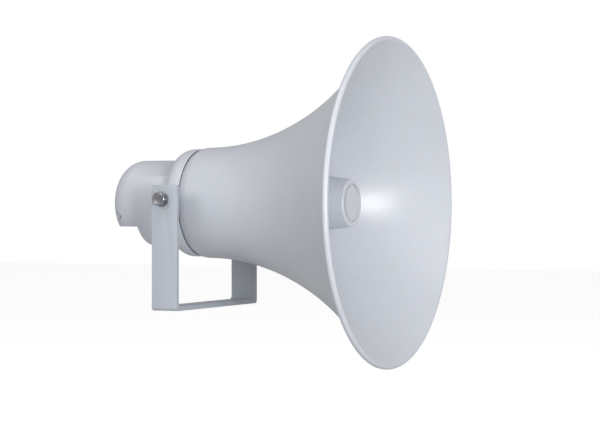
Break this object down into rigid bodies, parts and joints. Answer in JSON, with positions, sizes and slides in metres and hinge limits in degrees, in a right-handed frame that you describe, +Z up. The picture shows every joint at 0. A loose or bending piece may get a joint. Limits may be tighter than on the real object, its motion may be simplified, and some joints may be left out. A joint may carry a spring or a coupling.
{
  "type": "horn loudspeaker",
  "caption": "Round reflex horn loudspeaker with a rolled rim, a domed driver housing and a U bracket that lets it tilt.",
  "frame": {"origin": "centre of the underside of the bracket's base bar, where it is fixed", "axes": "+X the way the mouth faces, +Z up from the base bar, Y along the base bar and the tilt axis"},
  "size_m": [0.3217, 0.3498, 0.3498],
  "materials": {
    "coated_steel": "light grey satin powder coat on steel strip",
    "coated_aluminium": "light grey satin powder coat on spun and cast aluminium",
    "bright_steel": "bright stainless steel",
    "zinc_plate": "zinc plated steel",
    "black_rubber": "matt black rubber",
    "moulded_plastic": "matt black moulding",
    "ferrite": "dark sintered ferrite",
    "phenolic": "amber phenolic film",
    "copper_wire": "enamelled copper wire",
    "laminated_iron": "varnished iron laminations",
    "wire_insulation": "red wire insulation"
  },
  "bodies": {
    "bracket": {"u_bracket": "coated_steel", "flat_washer_left": "zinc_plate", "flat_washer_right": "zinc_plate", "friction_washer_left": "moulded_plastic", "friction_washer_right": "moulded_plastic"},
    "horn": {"back_yoke": "zinc_plate", "bell_gasket": "black_rubber", "clamp_screw_1": "zinc_plate", "clamp_screw_2": "zinc_plate", "clamp_screw_3": "zinc_plate", "clamp_screw_4": "zinc_plate", "cover_gasket": "black_rubber", "cover_screw_1": "zinc_plate", "cover_screw_2": "zinc_plate", "cover_screw_3": "zinc_plate", "diaphragm_ring": "moulded_plastic", "diaphragm_surround": "phenolic", "driver_base": "coated_aluminium", "frame_screw_1": "zinc_plate", "frame_screw_2": "zinc_plate", "gland_body": "moulded_plastic", "gland_locknut": "moulded_plastic", "gland_nut": "moulded_plastic", "gland_seal": "black_rubber", "horn_bell": "coated_aluminium", "motor_screw_1": "zinc_plate", "motor_screw_2": "zinc_plate", "motor_screw_3": "zinc_plate", "phase_plug": "moulded_plastic", "rear_cover": "coated_aluminium", "reflector_cap": "coated_aluminium", "reflector_cup": "coated_aluminium", "reflector_screw": "zinc_plate", "reflector_spider": "moulded_plastic", "ring_magnet": "ferrite", "spring_washer_left": "bright_steel", "spring_washer_right": "bright_steel", "stay_plate": "coated_steel", "tap_switch": "moulded_plastic", "terminal_block": "moulded_plastic", "terminal_lead_1": "wire_insulation", "terminal_lead_2": "wire_insulation", "tilt_bolt_left": "bright_steel", "tilt_bolt_right": "bright_steel", "tone_tube": "moulded_plastic", "top_plate": "zinc_plate", "transformer_core": "laminated_iron", "transformer_frame": "zinc_plate", "transformer_winding": "copper_wire", "weld_nut_left": "zinc_plate", "weld_nut_right": "zinc_plate"},
    "diaphragm": {"diaphragm_dome": "phenolic", "voice_coil": "copper_wire"},
    "selector": {"tap_selector": "moulded_plastic"}
  },
  "joints": [
    {"name": "horn_tilt", "type": "hinge", "parent": "bracket", "child": "horn", "pos_m": [-0.0025, 0, 0.118], "axis": [0, 1, 0], "range_deg": [-220, 37]},
    {"name": "diaphragm_travel", "type": "slide", "parent": "horn", "child": "diaphragm", "axis": [1, 0, 0], "range_m": [-0.0004, 0.0004], "stiffness_N_per_m": 4000},
    {"name": "tap_selector_turn", "type": "hinge", "parent": "horn", "child": "selector", "pos_m": [-0.096, 0, 0.114], "axis": [1, 0, 0], "range_deg": [0, 120]}
  ]
}
